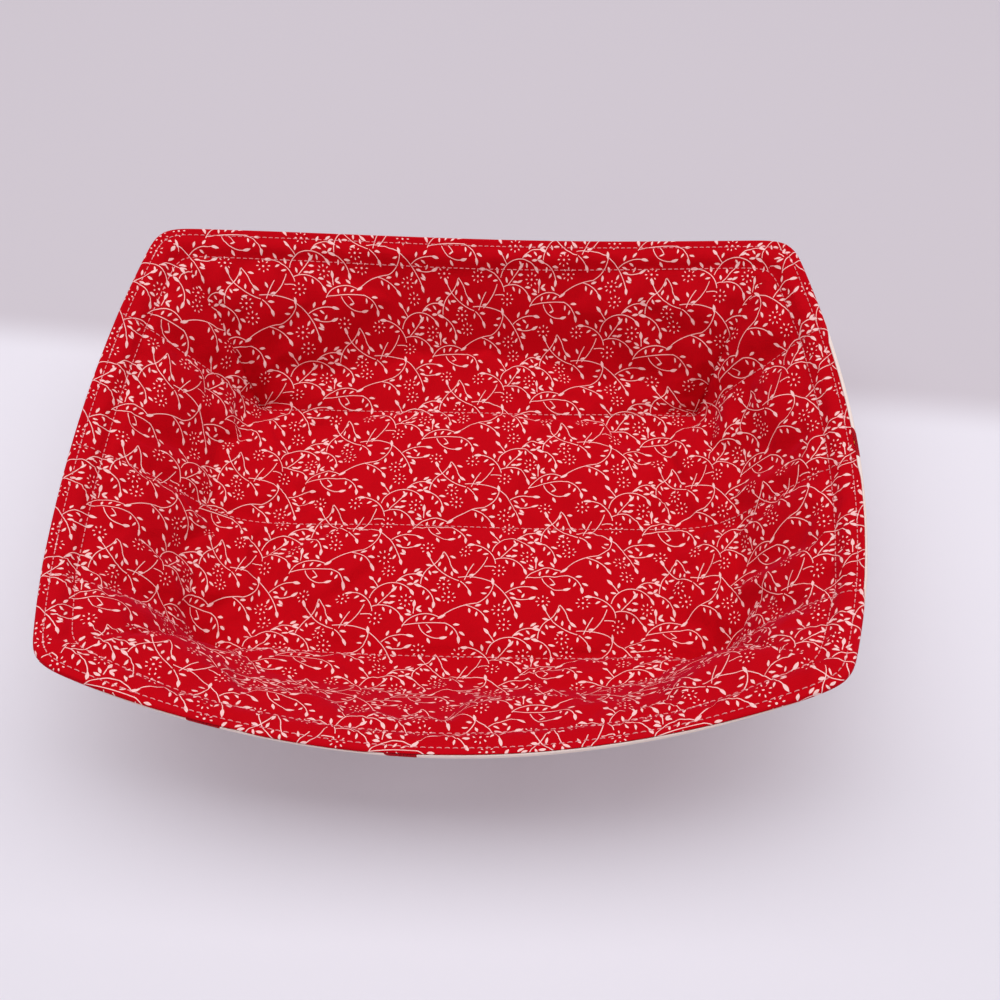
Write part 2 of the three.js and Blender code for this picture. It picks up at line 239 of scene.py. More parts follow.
def cut_panel():
    """A flat panel as it is cut: a grid of cloth with the wedge of each corner dart taken out.
    Its UV map holds the place on the flat cloth in millimetres, for the print and the weave."""
    bm = bmesh.new()
    floor_rows = round(FLOOR_Y / CELL)
    wall_rows = round(WALL / CELL)
    columns = 2 * round((FLOOR_X + WALL) / CELL)
    rows = 2 * (floor_rows + wall_rows)
    bmesh.ops.create_grid(bm, x_segments=columns, y_segments=rows, size=1)
    for v in bm.verts:
        row = abs(v.co.y) * rows / 2
        reach = min(row, floor_rows) * FLOOR_Y / floor_rows + max(row - floor_rows, 0) * WALL / wall_rows
        v.co = (v.co.x * (FLOOR_X + WALL), math.copysign(reach, v.co.y), 0)
    for side_x in (-1, 1):
        for side_y in (-1, 1):
            tip = Vector((side_x * FLOOR_X, side_y * FLOOR_Y, 0))
            corner = [f for f in bm.faces if f.calc_center_median().x * side_x > FLOOR_X
                      and f.calc_center_median().y * side_y > FLOOR_Y]
            for leg in ((DART_SPREAD, WALL), (WALL, DART_SPREAD)):
                along = Vector((side_x * leg[0], side_y * leg[1], 0))
                edges = list({e for f in corner for e in f.edges})
                verts = list({v for f in corner for v in f.verts})
                cut = bmesh.ops.bisect_plane(bm, geom=verts + edges + corner, dist=MERGE, plane_co=tip,
                                             plane_no=along.cross(Vector((0, 0, 1))))
                corner = [g for g in cut["geom"] if isinstance(g, bmesh.types.BMFace)]
            wedge = []
            for f in corner:
                out = f.calc_center_median() - tip
                if DART_SPREAD / WALL < abs(out.x / out.y) < WALL / DART_SPREAD:
                    wedge.append(f)
            bmesh.ops.delete(bm, geom=wedge, context="FACES")
    uv = bm.loops.layers.uv.new("flat_mm")
    for f in bm.faces:
        for loop in f.loops:
            loop[uv].uv = loop.vert.co.xy / MM
    return bm


def distances(flat):
    """How far points of the flat panel are from the rim, their dart, the quilting and the rows at the rim."""
    x, y = np.abs(flat[:, 0]), np.abs(flat[:, 1])
    past_x, past_y = x - FLOOR_X, y - FLOOR_Y
    long_wall = (past_y > 0) & (past_x <= DART_SPREAD * past_y / WALL + TINY)
    to_rim = WALL - np.where(long_wall, past_y, np.maximum(past_x, 0))
    leg = math.hypot(DART_SPREAD, WALL)
    to_leg = np.where(long_wall, np.abs(past_x * WALL - past_y * DART_SPREAD),
                      np.abs(past_y * WALL - past_x * DART_SPREAD)) / leg
    to_dart = np.where((past_x > 0) & (past_y > 0), to_leg, np.hypot(past_x, past_y))
    to_quilting = np.minimum(y, np.abs(past_y))
    to_rows = np.minimum.reduce([np.abs(to_rim - FIRST_ROW), np.abs(to_rim - SECOND_ROW), to_rim])
    return to_rim, to_dart, to_quilting, to_rows


def facts(bm, *names):
    """The layers of a panel that hold some of its points' facts."""
    return [bm.verts.layers.float[name] for name in names]


def sewn_form():
    """The panel folded up and its darts closed: the stitched level of the lining face, facing inwards, with
    the facts of its points."""
    bm = cut_panel()
    flat = np.array([v.co.xy for v in bm.verts])
    placed = fold_up(flat)
    known = np.column_stack([flat, *distances(flat)])
    layers = [bm.verts.layers.float.new(name) for name in FACTS]
    for i, v in enumerate(bm.verts):
        v.co = placed[i]
        for layer, fact in zip(layers, known[i]):
            v[layer] = fact
    bmesh.ops.remove_doubles(bm, verts=bm.verts, dist=MERGE)
    flat_x, flat_y, to_rim, to_dart = layers[:4]

    def fold(across, floor, along, end, reach):
        on_floor, up_wall, past_end = reach
        return [v for v in bm.verts
                if -on_floor < abs(v[across]) - floor < up_wall and abs(v[along]) < end + past_end]

    short_fold = fold(flat_x, FLOOR_X, flat_y, FLOOR_Y, SHORT_FOLD)
    long_fold = fold(flat_y, FLOOR_Y, flat_x, FLOOR_X, LONG_FOLD)
    short_middle = [v for v in short_fold if abs(v[flat_y]) < FRONT_BEND]
    for zone, (times, clear) in zip((short_fold, long_fold, short_middle, long_fold), SMOOTHING):
        zone = [v for v in zone if v[to_dart] >= clear]
        for _ in range(times):
            bmesh.ops.smooth_vert(bm, verts=zone, factor=0.5, use_axis_x=True, use_axis_y=True,
                                  use_axis_z=True)
    bm.normal_update()
    for v in bm.verts:
        inwards = min(1, v[to_rim] / EVEN_RIM)
        up_wall = min(1, max(0, abs(v[flat_x]) - FLOOR_X) / BEND_RISE)
        past_bend = abs(v[flat_y]) - (BACK_BEND if v[flat_y] > 0 else FRONT_BEND)
        bend = BEND_DEPTH * up_wall * inwards * math.exp(-(past_bend / BEND_REACH) ** 2)
        swell = SWELL * inwards * noise.noise(Vector((v[flat_x], v[flat_y], 0)) / SWELL_SIZE)
        v.co -= v.normal * (bend + swell)
    bm.normal_update()
    return bm


def loft(v, bm):
    """Rise of the batting at a point of a panel, less the deepest groove there."""
    layers = bm.verts.layers.float
    grooves = [0]
    for name, (depth, reach) in GROOVES.items():
        if name == "to_dart":
            depth *= DART_AT_RIM + (1 - DART_AT_RIM) * (v[layers["to_rim"]] / WALL) ** 2
        grooves.append(depth * (1 - math.sin(math.pi / 2 * min(1, v[layers[name]] / reach))))
    return LOFT - max(grooves)


def stack_share(to_rim):
    """How thick the stack is at a distance from the rim, as a share of its thickness elsewhere."""
    return 1 - (1 - RIM_STACK / STACK) * (1 - ease(min(to_rim / RIM_TAPER, 1)))


def seam_angle(place):
    """How far over the rim, from the inside, the lining reaches before it meets the outer cloth."""
    bearing = math.degrees(math.atan2(place.y / RIM_Y, place.x / RIM_X))
    return math.radians(np.interp(bearing, *zip(*SEAM)))


def roll_rim(bm, side):
    """Rolls a panel's edge over the rim to the seam. side is -1 for the lining, 1 for the outer."""
    uv = bm.loops.layers.uv["flat_mm"]
    edges = [e for e in bm.edges if e.is_boundary]
    rolls = {}
    for v in {v for e in edges for v in e.verts}:
        inner = [e.other_vert(v) for e in v.link_edges if not e.is_boundary]
        below = min(inner, key=lambda o: (o.co - v.co).length)
        out = v.normal
        up = v.co - below.co
        up = (up - out * up.dot(out)).normalized()
        reach = seam_angle(v.co) if side < 0 else math.pi - seam_angle(v.co)
        rolls[v] = (v.co - out * CREST_RADIUS, out, up, reach - CREST_GAP / 2 / CREST_RADIUS)
    for step in range(1, ROLL_STEPS + 1):
        made = bmesh.ops.extrude_edge_only(bm, edges=edges)["geom"]
        edges = [g for g in made if isinstance(g, bmesh.types.BMEdge) and g.is_boundary]
        rolled, before = {}, {}
        for v in {v for e in edges for v in e.verts}:
            before[v] = next(e.other_vert(v) for e in v.link_edges if e.other_vert(v) in rolls)
            centre, out, up, reach = rolled[v] = rolls[before[v]]
            angle = reach * step / ROLL_STEPS
            v.co = centre + (out * math.cos(angle) + up * math.sin(angle)) * CREST_RADIUS
        for f in (g for g in made if isinstance(g, bmesh.types.BMFace)):
            shared = next(e for e in f.edges if not any(v in before for v in e.verts))
            inner = next(g for g in shared.link_faces if g is not f)
            known = {loop.vert: loop[uv].uv.copy() for loop in inner.loops}
            middle = sum(known.values(), Vector((0, 0))) / len(known)
            short_wall = abs(middle.x) - FLOOR_X / MM > abs(middle.y) - FLOOR_Y / MM
            outward = (math.copysign(1, middle.x), 0) if short_wall else (0, math.copysign(1, middle.y))
            for loop in f.loops:
                if loop.vert in known:
                    loop[uv].uv = known[loop.vert]
                else:
                    arc = rolled[loop.vert][3] * CREST_RADIUS / ROLL_STEPS / MM
                    loop[uv].uv = known[before[loop.vert]] + Vector(outward) * arc
        rolls = rolled


def new_object(name, data):
    """A new object in the scene."""
    made = bpy.data.objects.new(name, data)
    bpy.context.scene.collection.objects.link(made)
    return made


def new_piece(name, bm, material, slot, *nodes):
    """Makes a finished mesh a piece of the object that stands for some CAD nodes."""
    mesh = bpy.data.meshes.new(name)
    for f in bm.faces:
        f.smooth = True
    bm.to_mesh(mesh)
    bm.free()
    piece = new_object(name, mesh)
    mesh.materials.append(material)
    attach(piece, "root")
    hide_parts(*nodes)
    return piece


def settle(bm):
    """Lets the cloth of a panel settle over its batting by simulation: held at its stitches, pushed by the
    batting, and a little larger than the form, so that it puckers."""
    stitched = facts(bm, *GROOVES)
    held = [v.index for v in bm.verts if min(v[layer] for layer in stitched) < HELD]
    mesh = bpy.data.meshes.new("settling")
    bm.to_mesh(mesh)
    mesh.transform(Matrix.Scale(SETTLE_SCALE, 4))
    cloth = new_object("settling", mesh)
    scene = bpy.context.scene
    cloth.vertex_groups.new(name="held").add(held, 1, "REPLACE")
    settling = cloth.modifiers.new("settling", "CLOTH")
    for name, value in COTTON.items():
        setattr(settling.settings, name, value)
    settling.settings.effector_weights.gravity = 0
    settling.collision_settings.use_collision = False
    settling.point_cache.frame_end = SETTLE_FRAMES
    for number in range(1, SETTLE_FRAMES + 1):
        scene.frame_set(number)
    done = cloth.evaluated_get(bpy.context.evaluated_depsgraph_get()).to_mesh()
    moved = np.empty(len(done.vertices) * 3)
    done.vertices.foreach_get("co", moved)
    moved = moved.reshape(-1, 3) / SETTLE_SCALE
    scene.frame_set(1)
    cloth.to_mesh_clear()
    bpy.data.objects.remove(cloth)
    bpy.data.meshes.remove(mesh)
    for v, place in zip(bm.verts, moved):
        step = Vector(place) - v.co
        step *= min(1, MOST_MOVED / max(step.length, TINY))
        v.co += step
    bm.normal_update()


def crease(flat):
    """How deep soft creases are at a place on the flat lining: a valley with a lower ridge on its left."""
    depth = 0
    for x, y, heading, length, width, most in CREASES:
        away = Matrix.Rotation(math.radians(-heading), 2) @ (flat / MM - Vector((x, y)))
        valley, ridge = (math.exp(-(2 * (away.y - off) / width) ** 2) for off in (0, RIDGE_PLACE * width))
        depth += most * MM * math.exp(-(2 * away.x / length) ** 2) * (valley - RIDGE * ridge)
    return depth


def panel(side):
    """One panel of cloth on the sewn form, before its edge is rolled. side is -1 for the lining, 1 for the
    outer. Creases stay above the stitched form, and the outer cloth above the table."""
    bm = FORM.copy()
    flat_x, flat_y, to_rim = facts(bm, "flat_x", "flat_y", "to_rim")
    for v in bm.verts:
        depth = -loft(v, bm) if side < 0 else STACK * stack_share(v[to_rim]) + loft(v, bm)
        v.co -= v.normal * depth
    if side > 0:
        bmesh.ops.reverse_faces(bm, faces=bm.faces)
    bm.normal_update()
    settle(bm)
    for v, base in zip(bm.verts, FORM.verts):
        if side < 0:
            rise = max(0, (v.co - base.co).dot(base.normal))
            v.co -= v.normal * min(crease(Vector((v[flat_x], v[flat_y]))) * loft(v, bm) / LOFT, rise)
        else:
            v.co.z = max(v.co.z, LOFT - loft(v, bm))
    bm.normal_update()
    return bm


def batting(face, core_depth):
    """A layer of wadding that fills the room between a settled panel and the core of the cozy."""
    bm = face.copy()
    bm.verts.ensure_lookup_table()
    panel_verts = bm.verts[:]
    copy = bmesh.ops.duplicate(bm, geom=bm.verts[:] + bm.edges[:] + bm.faces[:])
    (to_rim,) = facts(FORM, "to_rim")
    inner = [(copy["vert_map"][v], base.co - base.normal * core_depth * stack_share(base[to_rim]))
             for v, base in zip(panel_verts, FORM.verts)]
    outer = [(v, v.co - v.normal * (FABRIC + GAP)) for v in panel_verts]
    for v, place in inner + outer:
        v.co = place
    bmesh.ops.bridge_loops(bm, edges=[e for e in bm.edges if e.is_boundary])
    bmesh.ops.recalc_face_normals(bm, faces=bm.faces)
    return bm


def stitch_lines(bm):
    """The vertices of a panel along each line of stitches, in order, and whether the line is closed."""
    flat_x, flat_y, to_rim, to_dart = facts(bm, "flat_x", "flat_y", "to_rim", "to_dart")
    lines = {}
    for name, y in (("quilting_back", FLOOR_Y), ("quilting_middle", 0), ("quilting_front", -FLOOR_Y)):
        line = [v for v in bm.verts if abs(v[flat_y] - y) < ON_LINE]
        lines[name] = (sorted(line, key=lambda v: v[flat_x]), False)
    for name, inset in (("first_row", FIRST_ROW), ("second_row", SECOND_ROW), ("rim", 0)):
        line = [v for v in bm.verts if abs(v[to_rim] - inset) < ON_LINE]
        lines[name] = (sorted(line, key=lambda v: math.atan2(v.co.y / RIM_Y, v.co.x / RIM_X)), True)
    for name, side_x, side_y in (("dart_back_right", 1, 1), ("dart_back_left", -1, 1),
                                 ("dart_front_left", -1, -1), ("dart_front_right", 1, -1)):
        line = [v for v in bm.verts if v[to_dart] < ON_LINE and v.co.x * side_x > 0 and v.co.y * side_y > 0]
        lines[name] = (sorted(line, key=lambda v: -v[to_rim]), False)
    return lines


def one_stitch():
    """A stitch along X that dips into the cloth at both ends."""
    bm = bmesh.new()
    bmesh.ops.create_circle(bm, cap_ends=True, segments=RING_SIDES, radius=THREAD / 2)
    bmesh.ops.rotate(bm, verts=bm.verts, matrix=Matrix.Rotation(math.pi / 2, 3, "Y"))
    made = bm.verts[:] + bm.faces[:]
    last = None
    for along, height, width in STITCH_RINGS:
        place = Matrix.Translation((along * STITCH_LENGTH, 0, height * MM))
        ring = place @ Matrix.Diagonal((1, width, width, 1))
        step = ring
        if last is not None:
            end = [g for g in made if isinstance(g, bmesh.types.BMFace)]
            made = bmesh.ops.extrude_face_region(bm, geom=end)["geom"]
            step = ring @ last.inverted()
        verts = [g for g in made if isinstance(g, bmesh.types.BMVert)]
        bmesh.ops.transform(bm, verts=verts, matrix=step)
        last = ring
    bmesh.ops.recalc_face_normals(bm, faces=bm.faces)
    mesh = bpy.data.meshes.new("stitch")
    bm.to_mesh(mesh)
    bm.free()
    return mesh


STITCH = one_stitch()


def row_of_stitches(points, ups, closed):
    """Stitches end to end along a line of points, each with the direction off the cloth there."""
    points, ups = np.array(points), np.array(ups)
    if closed:
        points, ups = np.vstack([points, points[:1]]), np.vstack([ups, ups[:1]])
    reached = np.concatenate([[0], np.cumsum(np.linalg.norm(np.diff(points, axis=0), axis=1))])
    count = round(reached[-1] / STITCH_PITCH)

    def at(distance, values):
        return Vector([np.interp(distance, reached, values[:, i]) for i in range(3)])

    bm = bmesh.new()
    for i in range(count):
        middle = (i + 0.5) * reached[-1] / count
        start, end = at(middle - STITCH_LENGTH / 2, points), at(middle + STITCH_LENGTH / 2, points)
        forward = (end - start).normalized()
        aside = at(middle, ups).cross(forward).normalized()
        up = forward.cross(aside)
        turn = Matrix((forward, aside, up)).transposed().to_4x4()
        stitch = STITCH.copy()
        stitch.transform(Matrix.Translation(at(middle, points)) @ turn)
        bm.from_mesh(stitch)
        bpy.data.meshes.remove(stitch)
    return bm


MATH = "ShaderNodeMath"
GROUP = "ShaderNodeGroup"
MIX = "ShaderNodeMix"
# Inputs of a print's groups: a place on the cloth, and the middle of what is printed
SPOT = ("Place", "Middle X", "Middle Y")
# A mix of colours has other inputs between its share and its two colours
SKIP = (None,) * 5


def srgb(code):
    """A linear colour from an sRGB hex code."""
    channels = [int(code[i:i + 2], 16) / 255 for i in (0, 2, 4)]
    return tuple(c / 12.92 if c <= 0.04045 else ((c + 0.055) / 1.055) ** 2.4 for c in channels) + (1,)


def add(tree, kind, *sources, **settings):
    """Adds a node with its settings, and fills its inputs from values, sockets or nodes' first outputs."""
    node = tree.nodes.new(kind)
    for name, value in settings.items():
        setattr(node, name, value)
    for socket, source in zip(node.inputs, sources):
        if isinstance(source, bpy.types.Node):
            source = source.outputs[0]
        if isinstance(source, bpy.types.NodeSocket):
            tree.links.new(source, socket)
        elif source is not None:
            socket.default_value = source
    return node


def new_group(name, inputs, outputs):
    """A node group with float inputs and outputs, apart from an input named Place."""
    tree = bpy.data.node_groups.new(name, "ShaderNodeTree")
    for socket in inputs:
        kind = "NodeSocketVector" if socket == "Place" else "NodeSocketFloat"
        tree.interface.new_socket(socket, in_out="INPUT", socket_type=kind)
    for socket in outputs:
        tree.interface.new_socket(socket, in_out="OUTPUT", socket_type="NodeSocketFloat")
    return tree, tree.nodes.new("NodeGroupInput").outputs


# The lining's print, in millimetres on the flat cloth: a small vine that repeats down columns, each column
# dropped by half a repeat. Leaves, buds and petals have a half length and a half width.
REPEAT = 50
VINE_PLACE = (12.5, 20)
STEM = 0.165
LEAF = (1.32, 0.5)
LEAF_PITCH = 4.0
LEAF_ASIDE = 1.95
LEAF_LEAN = math.radians(50)
BUD = (1.85, 0.64)
BUD_PLACE = 1.2
BUD_ROOM = 3
NO_BUD = 1000
PETALS = 8
PETAL = (0.5, 0.25)
PETAL_RING = 2.45
FLOWER_DOT = 0.45
# Each stem is an arc from a start in a heading, turning left for a radius above zero; then its length, where
# its leaves begin, pairs of leaves, their stagger, and 1 for a bud at its end
STEMS = (
    (0, -0.5, 155, 27, 15.5, 0, 0, 1, 0),
    (-14.6, 0.1, 165, -20, 18, 3.4, 3, 1, 1),
    (0.2, -1.5, 265, -11.5, 12, 1.2, 2, 1, 0),
    (-6.4, -10.9, 186, 24, 17, 0, 0, 1, 0),
    (-11, -12, 348, -14, 10.5, 1.5, 2, 1, 1),
    (0.5, -1.2, 320, -30, 17, 8.2, 2, 0, 1),
    (5.4, -5.6, 44, -13, 11.5, 1.2, 2, 1, 1),
    (7.6, -7.8, 338, 11, 8, 2.5, 1, -1, 1),
    (0.6, 9, 98, 11, 14.5, 6, 2, 1, 1),
    (-1.1, 15.2, 80, -9.5, 21.5, 12.5, 2, 1, 1),
    (0.3, 11.2, 25, -9.5, 14.5, 4.4, 2, 1, 1),
    (2.6, 12.2, 50, 200, 8.5, 0, 2, 1, 1),
    (9.3, 23.4, 62, -8, 10, 2.5, 2, 1, 1),
    (2, 20.6, 118, 30, 5, 0, 1, 1, 1),
    (-9.8, 1.4, 42, 24, 13, 0, 0, 1, 0),
    (-4, 7.4, 8, -20, 4, 0, 0, 1, 0),
    (-12.2, 0.4, 72, -40, 9, 2.5, 1, 1, 0),
    (-14, -0.2, 325, -12, 6, 0, 1, 1, 1),
    (-22.2, 14.3, 258, -14, 9, 0, 0, 1, 0),
    (-26.7, 6.7, 221, 11, 10, 2, 2, 1, 0),
    (-22, 14.4, 312, -14, 6.5, 1, 1, 1, 0),
    (-18.9, 8.7, 285, 8, 3.4, 0, 0, 1, 1),
    (-30.2, -3.4, 338, -9.5, 10, 2, 2, 1, 1),
    (-30, -3.5, 158, 30, 0.3, 0, 0, 1, 1),
    (-21.4, -18.2, 147, 10.2, 18, 1.5, 3, 1, 0),
    (-32.3, -16.6, 88, 100, 3.5, 0, 1, 1, 1),
    (-18.5, -20.9, 176, 60, 18, 0, 0, 1, 0),
    (-19.5, -20.7, 345, -9, 9.5, 1.5, 2, 1, 1),
    (-29.6, -21.9, 285, 8.5, 12, 5, 1, 1, 1),
    (-26.5, -21.7, 320, -8, 4, 0, 0, 1, 0),
    (0.1, -1.9, 95, 30, 0.6, 0, 0, 1, 1),
    (-21.9, -18.6, 30, 30, 0.4, 0, 0, 1, 1),
)
STEM_SAMPLES = 20
FLOWERS = ((2.2, 5.5), (-18.3, -8.3), (-29.0, 16.0), (-12.5, 15.3), (14.0, 14.5), (3.0, -14.0), (5.5, -21.0),
           (-20.8, -2.0))

# The outer cloth's print: blossoms tossed over a pale ground, each turned on from the last. A petal's edge
# curves in from its tip almost to a waist, a share of its length.
OUTER_REPEAT = 240
BLOSSOMS = ((-81, -157), (-11, -157), (189, 8), (-89, 0), (24, -113), (-103, -89), (-31, 3), (39, -54),
            (41, 3), (115, -71), (74, 44), (-14, -68), (80, -117), (87, -22), (-73, -46), (25, 58), (-77, 45),
            (116, 106))
BLOSSOM_TURN = 2.4
BLOSSOM_PARTS = ("Petals", "Veins", "Eye", "Leaves")
BLOSSOM_PETALS = 5
BLOSSOM_VEINS = 25
BLOSSOM_LEAVES = 3
PETAL_LENGTH = 8.5
PETAL_WAIST = 0.62
PETAL_EDGE = 2.2
VEIN = 0.16
EYE = 1.7
OUTER_LEAF = (5.2, 2.3)
OUTER_LEAF_PLACE = PETAL_LENGTH + 3


def squares(tree, x, y):
    """The sum of the squares of two values."""
    squared = add(tree, MATH, x, x, operation="MULTIPLY")
    return add(tree, MATH, y, y, squared, operation="MULTIPLY_ADD")


def polar(tree, x, y):
    """Bearing of a place from a middle, and its distance."""
    bearing = add(tree, MATH, y, x, operation="ARCTAN2")
    return bearing, add(tree, MATH, squares(tree, x, y), operation="SQRT")


def pointed(tree, along, aside, half_width):
    """1 inside a leaf that is pointed at both ends, at a place in half lengths along it and aside of it."""
    taper = add(tree, MATH, along, along, operation="MULTIPLY")
    swell = add(tree, MATH, taper, -half_width, half_width, operation="MULTIPLY_ADD")
    return add(tree, MATH, aside, swell, operation="LESS_THAN")


def repeat_group(name, size):
    """Place on the cloth as a vector from the nearest repeat of a point, in columns dropped by half."""
    tree, given = new_group(name, SPOT, ("X", "Y"))
    place = add(tree, "ShaderNodeSeparateXYZ", given["Place"]).outputs
    across = add(tree, MATH, place["X"], given["Middle X"], operation="SUBTRACT")
    upward = add(tree, MATH, place["Y"], given["Middle Y"], operation="SUBTRACT")
    columns = add(tree, MATH, across, 1 / size, operation="MULTIPLY")
    column = add(tree, MATH, columns, operation="ROUND")
    x = add(tree, MATH, column, -size, across, operation="MULTIPLY_ADD")
    dropped = add(tree, MATH, column, -size / 2, upward, operation="MULTIPLY_ADD")
    y = add(tree, MATH, dropped, size / 2, -size / 2, operation="WRAP")
    add(tree, "NodeGroupOutput", x, y)
    return tree


def stem_group(repeat):
    """One stem: its ink, and for its leaves the distance along it and aside of it."""
    tree, given = new_group("print_stem", (*SPOT, "Centre X", "Centre Y", "Turn", "Angle", "Radius", "Half"),
                            ("Ink", "Along", "Aside"))
    near = add(tree, GROUP, *given[:3], node_tree=repeat).outputs
    x = add(tree, MATH, near["X"], given["Centre X"], operation="SUBTRACT")
    y = add(tree, MATH, near["Y"], given["Centre Y"], operation="SUBTRACT")
    bearing, away = polar(tree, x, y)
    swept = add(tree, MATH, bearing, given["Turn"], given["Angle"], operation="MULTIPLY_ADD")
    swept = add(tree, MATH, swept, math.pi, -math.pi, operation="WRAP")
    along = add(tree, MATH, swept, given["Radius"], operation="MULTIPLY")
    aside = add(tree, MATH, given["Radius"], away, operation="SUBTRACT")
    wide = add(tree, MATH, aside, 0, STEM, operation="COMPARE")
    long = add(tree, MATH, along, 0, given["Half"], operation="COMPARE")
    ink = add(tree, MATH, wide, long, operation="MULTIPLY")
    add(tree, "NodeGroupOutput", ink, along, aside)
    return tree


def leaves_group():
    """Leaves along both sides of a stem and the bud at its end."""
    tree, given = new_group("print_leaves", ("Along", "Aside", "Stagger", "First", "Middle", "Reach", "Bud"),
                            ("Ink",))
    side = add(tree, MATH, given["Aside"], operation="SIGN")
    along = add(tree, MATH, side, given["Stagger"], given["Along"], operation="MULTIPLY_ADD")
    off = add(tree, MATH, given["Aside"], operation="ABSOLUTE")
    from_first = add(tree, MATH, along, given["First"], operation="SUBTRACT")
    forward = add(tree, MATH, from_first, LEAF_PITCH / 2, -LEAF_PITCH / 2, operation="WRAP")
    sideways = add(tree, MATH, off, LEAF_ASIDE, operation="SUBTRACT")
    cos, sin = math.cos(LEAF_LEAN), math.sin(LEAF_LEAN)
    length = add(tree, MATH, forward, cos / LEAF[0], operation="MULTIPLY")
    length = add(tree, MATH, sideways, sin / LEAF[0], length, operation="MULTIPLY_ADD")
    width = add(tree, MATH, sideways, cos, operation="MULTIPLY")
    width = add(tree, MATH, forward, -sin, width, operation="MULTIPLY_ADD")
    width = add(tree, MATH, width, operation="ABSOLUTE")
    leaf = pointed(tree, length, width, LEAF[1])
    leafy = add(tree, MATH, along, given["Middle"], given["Reach"], operation="COMPARE")
    leaf = add(tree, MATH, leaf, leafy, operation="MULTIPLY")
    past_end = add(tree, MATH, given["Along"], given["Bud"], operation="SUBTRACT")
    past_end = add(tree, MATH, past_end, 1 / BUD[0], operation="MULTIPLY")
    bud = pointed(tree, past_end, off, BUD[1])
    ink = add(tree, MATH, leaf, bud, operation="MAXIMUM")
    add(tree, "NodeGroupOutput", ink)
    return tree


def flower_group(repeat):
    """A dot with a ring of small petals."""
    tree, given = new_group("print_flower", SPOT, ("Ink",))
    x, y = add(tree, GROUP, *given[:3], node_tree=repeat).outputs
    bearing, away = polar(tree, x, y)
    length = add(tree, MATH, away, 1 / PETAL[0], -PETAL_RING / PETAL[0], operation="MULTIPLY_ADD")
    petal = add(tree, MATH, bearing, math.pi / PETALS, -math.pi / PETALS, operation="WRAP")
    width = add(tree, MATH, petal, PETAL_RING / PETAL[1], operation="MULTIPLY")
    ring = add(tree, MATH, squares(tree, length, width), 1, operation="LESS_THAN")
    dot = add(tree, MATH, away, FLOWER_DOT, operation="LESS_THAN")
    ink = add(tree, MATH, ring, dot, operation="MAXIMUM")
    add(tree, "NodeGroupOutput", ink)
    return tree


def vine_print():
    """The whole print: 1 where the cloth is printed."""
    tree, given = new_group("vine_print", ("Place",), ("Ink",))
    repeat = repeat_group("vine_repeat", REPEAT)
    stem, leaves, flower = stem_group(repeat), leaves_group(), flower_group(repeat)
    place = add(tree, "ShaderNodeVectorMath", given["Place"], (*VINE_PLACE, 0), operation="SUBTRACT")
    inks = []
    for x, y, heading, radius, length, first, pairs, stagger, bud in STEMS:
        turn = math.copysign(1, radius)
        heading = math.radians(heading)
        centre = Vector((x - radius * math.sin(heading), y + radius * math.cos(heading)))
        start = math.atan2(y - centre.y, x - centre.x)
        size = abs(radius)
        reach = length + BUD_ROOM * bud
        path = [centre + size * Vector((math.cos(a), math.sin(a))) for a in
                (start + turn * reach / size * i / STEM_SAMPLES for i in range(STEM_SAMPLES + 1))]
        middle = Vector([(min(p[i] for p in path) + max(p[i] for p in path)) / 2 for i in (0, 1)])
        half = length / 2
        drawn = add(tree, GROUP, place, *middle, *(centre - middle), turn, -turn * start - half / size, size,
                    half, node_tree=stem).outputs
        inks.append(drawn["Ink"])
        if pairs or bud:
            begin, leafy = first - half, pairs * LEAF_PITCH / 2
            inks.append(add(tree, GROUP, drawn["Along"], drawn["Aside"], stagger, begin + LEAF_PITCH / 2,
                            begin + leafy, leafy, half + BUD_PLACE if bud else NO_BUD, node_tree=leaves))
    inks += [add(tree, GROUP, place, x, y, node_tree=flower) for x, y in FLOWERS]
    total = inks[0]
    for ink in inks[1:]:
        total = add(tree, MATH, total, ink, operation="MAXIMUM")
    add(tree, "NodeGroupOutput", total)
    return tree


def blossom_group(repeat):
    """A blossom of five petals with its eye and leaves, turned by an angle."""
    tree, given = new_group("print_blossom", (*SPOT, "Turn"), BLOSSOM_PARTS)
    x, y = add(tree, GROUP, *given[:3], node_tree=repeat).outputs
    bearing, away = polar(tree, x, y)
    bearing = add(tree, MATH, bearing, given["Turn"], operation="ADD")
    petal, vein, leaf = (add(tree, MATH, bearing, math.pi / parts, -math.pi / parts, operation="WRAP")
                         for parts in (BLOSSOM_PETALS, BLOSSOM_VEINS, BLOSSOM_LEAVES))
    scallop = add(tree, MATH, petal, PETAL_EDGE, operation="MULTIPLY")
    scallop = add(tree, MATH, scallop, operation="COSINE")
    waist = PETAL_WAIST * PETAL_LENGTH
    edge = add(tree, MATH, scallop, PETAL_LENGTH - waist, waist, operation="MULTIPLY_ADD")
    petals = add(tree, MATH, away, edge, operation="LESS_THAN")
    vein = add(tree, MATH, vein, away, operation="MULTIPLY")
    vein = add(tree, MATH, vein, 0, VEIN, operation="COMPARE")
    inner = add(tree, MATH, away, waist, operation="LESS_THAN")
    veins = add(tree, MATH, vein, inner, operation="MULTIPLY")
    eye = add(tree, MATH, away, EYE, operation="LESS_THAN")
    ahead = add(tree, MATH, leaf, operation="COSINE")
    ahead = add(tree, MATH, ahead, away, -OUTER_LEAF_PLACE, operation="MULTIPLY_ADD")
    ahead = add(tree, MATH, ahead, 1 / OUTER_LEAF[0], operation="MULTIPLY")
    aside = add(tree, MATH, leaf, operation="SINE")
    aside = add(tree, MATH, aside, away, operation="MULTIPLY")
    aside = add(tree, MATH, aside, 1 / OUTER_LEAF[1], operation="MULTIPLY")
    leaves = add(tree, MATH, squares(tree, ahead, aside), 1, operation="LESS_THAN")
    add(tree, "NodeGroupOutput", petals, veins, eye, leaves)
    return tree


